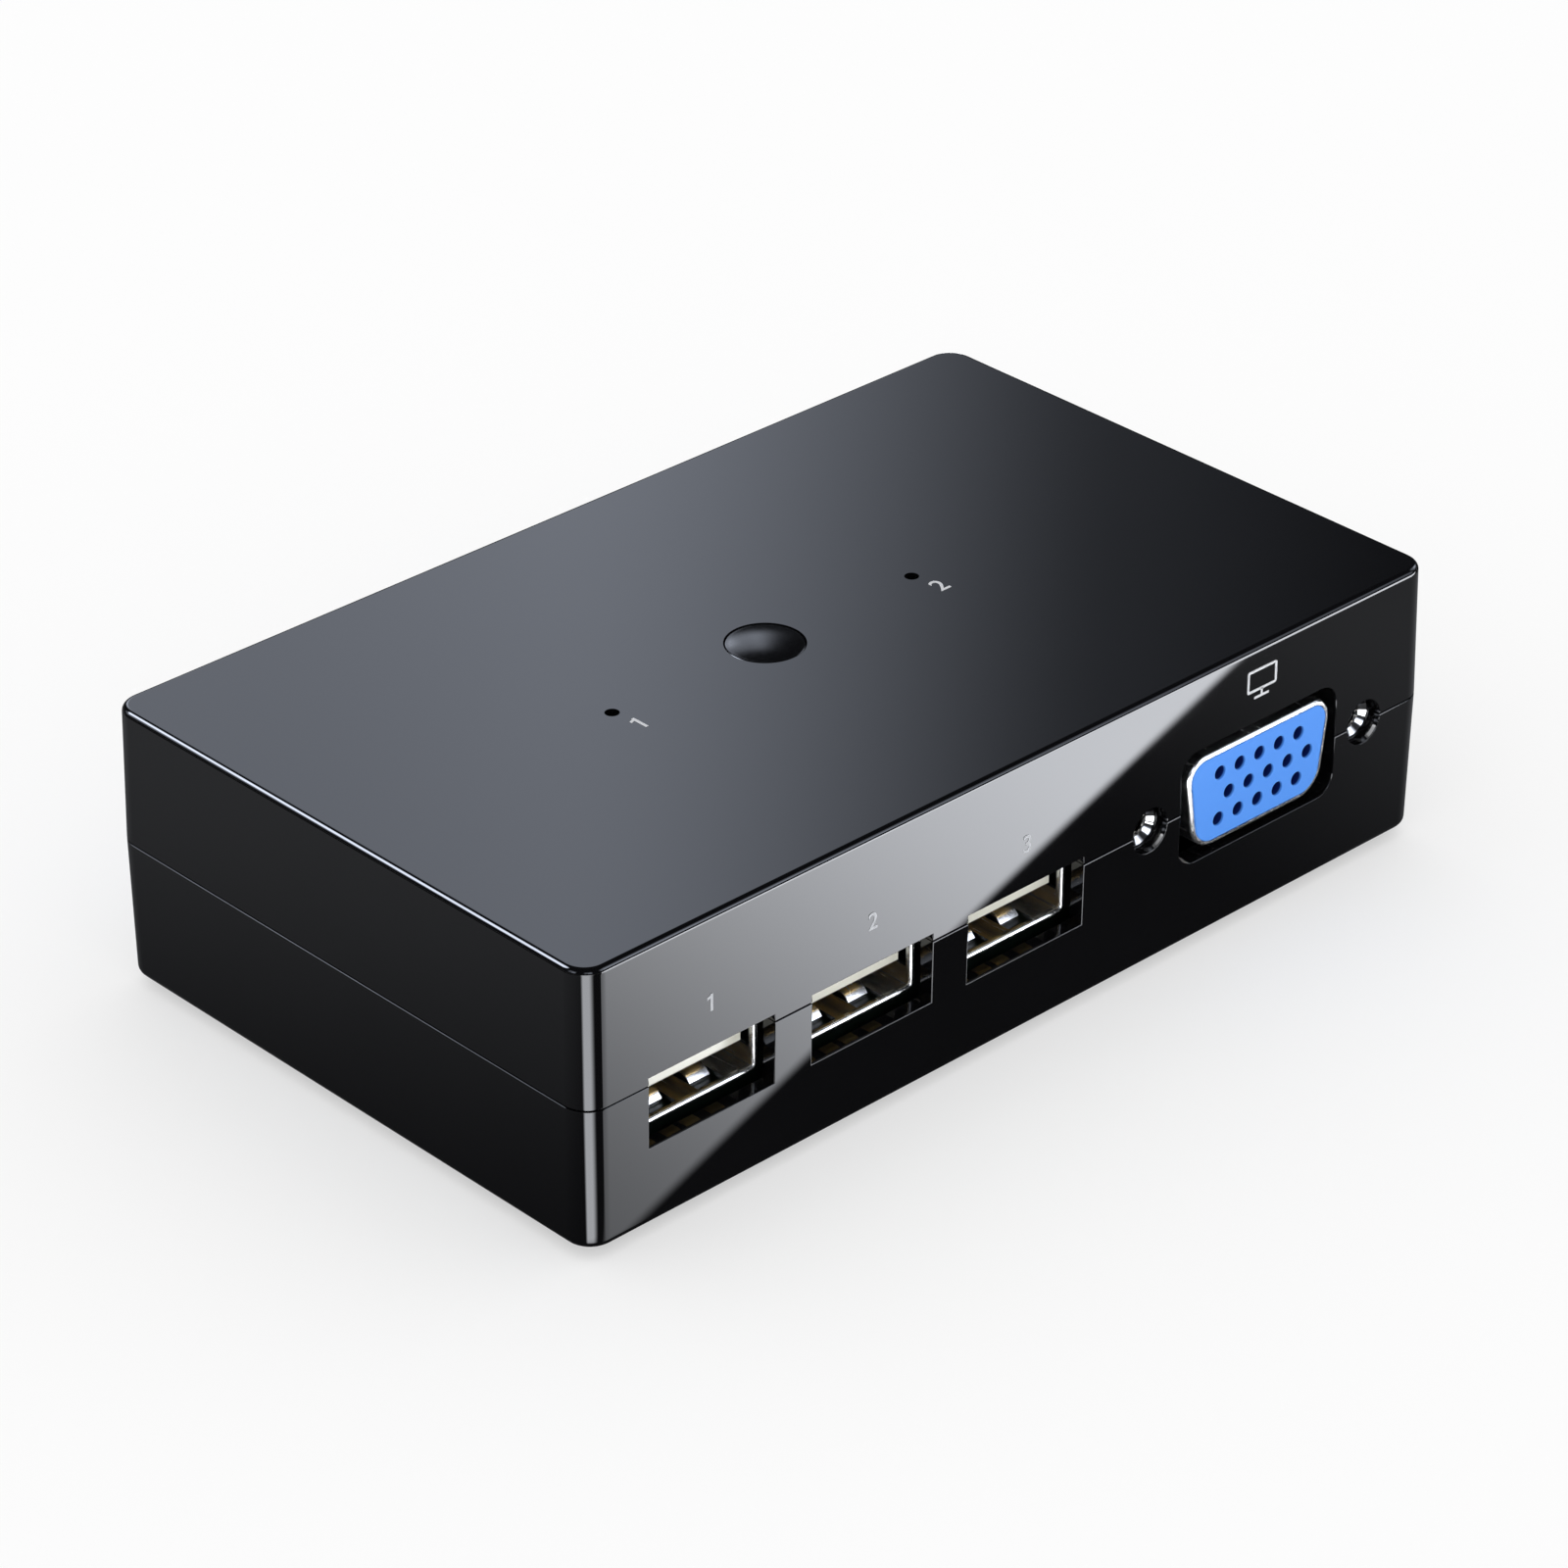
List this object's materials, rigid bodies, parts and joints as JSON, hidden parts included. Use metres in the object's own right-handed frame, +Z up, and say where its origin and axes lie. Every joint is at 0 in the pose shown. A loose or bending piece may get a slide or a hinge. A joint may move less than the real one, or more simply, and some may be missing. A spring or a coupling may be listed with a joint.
{
  "type": "kvm switch",
  "caption": "Small glossy black desktop KVM switch with a domed select button, USB-A sockets and a blue video output in front, and video and USB-B inputs behind.",
  "frame": {"origin": "centre of the footprint, on the plane of the feet's undersides", "axes": "+X along the long front, -Y out of the front with the USB-A sockets and the video output, +Z up"},
  "size_m": [0.0916, 0.0552, 0.0255],
  "materials": {
    "case": "polished black moulding",
    "button": "polished black moulding",
    "plated_shell": "bright nickel plate",
    "blue_insulator": "satin blue moulding",
    "cream_insulator": "satin cream moulding",
    "black_insulator": "satin black moulding",
    "foot_rubber": "matt rubber",
    "board": "dark green solder mask",
    "chip": "moulded epoxy",
    "screw": "zinc plate",
    "light_pipe": "smoke-coloured moulding",
    "led": "cast resin",
    "can": "drawn can"
  },
  "bodies": {
    "housing": {"upper_shell": "case", "lower_shell": "case", "switch_base": "black_insulator", "switch_cover": "plated_shell", "circuit_board": "board", "usb_a_shell_1": "plated_shell", "usb_a_shell_2": "plated_shell", "usb_a_shell_3": "plated_shell", "usb_a_tongue_1": "cream_insulator", "usb_a_tongue_2": "cream_insulator", "usb_a_tongue_3": "cream_insulator", "usb_b_shell_1": "plated_shell", "usb_b_shell_2": "plated_shell", "usb_b_insulator_1": "black_insulator", "usb_b_insulator_2": "black_insulator", "video_out_shell": "plated_shell", "video_out_insulator": "blue_insulator", "video_out_housing": "black_insulator", "video_out_jack_left": "plated_shell", "video_out_jack_right": "plated_shell", "video_in_1_shell": "plated_shell", "video_in_1_insulator": "blue_insulator", "video_in_1_housing": "black_insulator", "video_in_1_jack_left": "plated_shell", "video_in_1_jack_right": "plated_shell", "video_in_2_shell": "plated_shell", "video_in_2_insulator": "blue_insulator", "video_in_2_housing": "black_insulator", "video_in_2_jack_left": "plated_shell", "video_in_2_jack_right": "plated_shell", "case_screw_1": "screw", "case_screw_2": "screw", "case_screw_3": "screw", "case_screw_4": "screw", "foot_1": "foot_rubber", "foot_2": "foot_rubber", "foot_3": "foot_rubber", "foot_4": "foot_rubber", "status_led_1": "led", "status_led_2": "led", "light_pipe_1": "light_pipe", "light_pipe_2": "light_pipe", "video_switch_chip": "chip", "usb_hub_chip": "chip", "controller_chip": "chip", "voltage_regulator": "chip", "crystal": "can", "capacitor_1": "can", "capacitor_2": "can"},
    "button": {"select_button": "button"},
    "plunger": {"switch_plunger": "black_insulator"}
  },
  "joints": [
    {"name": "button_press", "type": "slide", "parent": "housing", "child": "button", "axis": [0, 0, -1], "range_m": [0, 0.0004], "stiffness_N_per_m": 3000},
    {"name": "plunger_press", "type": "slide", "parent": "housing", "child": "plunger", "axis": [0, 0, -1], "range_m": [0, 0.0004]}
  ],
  "couplings": [
    {"joint": "plunger_press", "follows": "button_press", "ratio": 1}
  ]
}
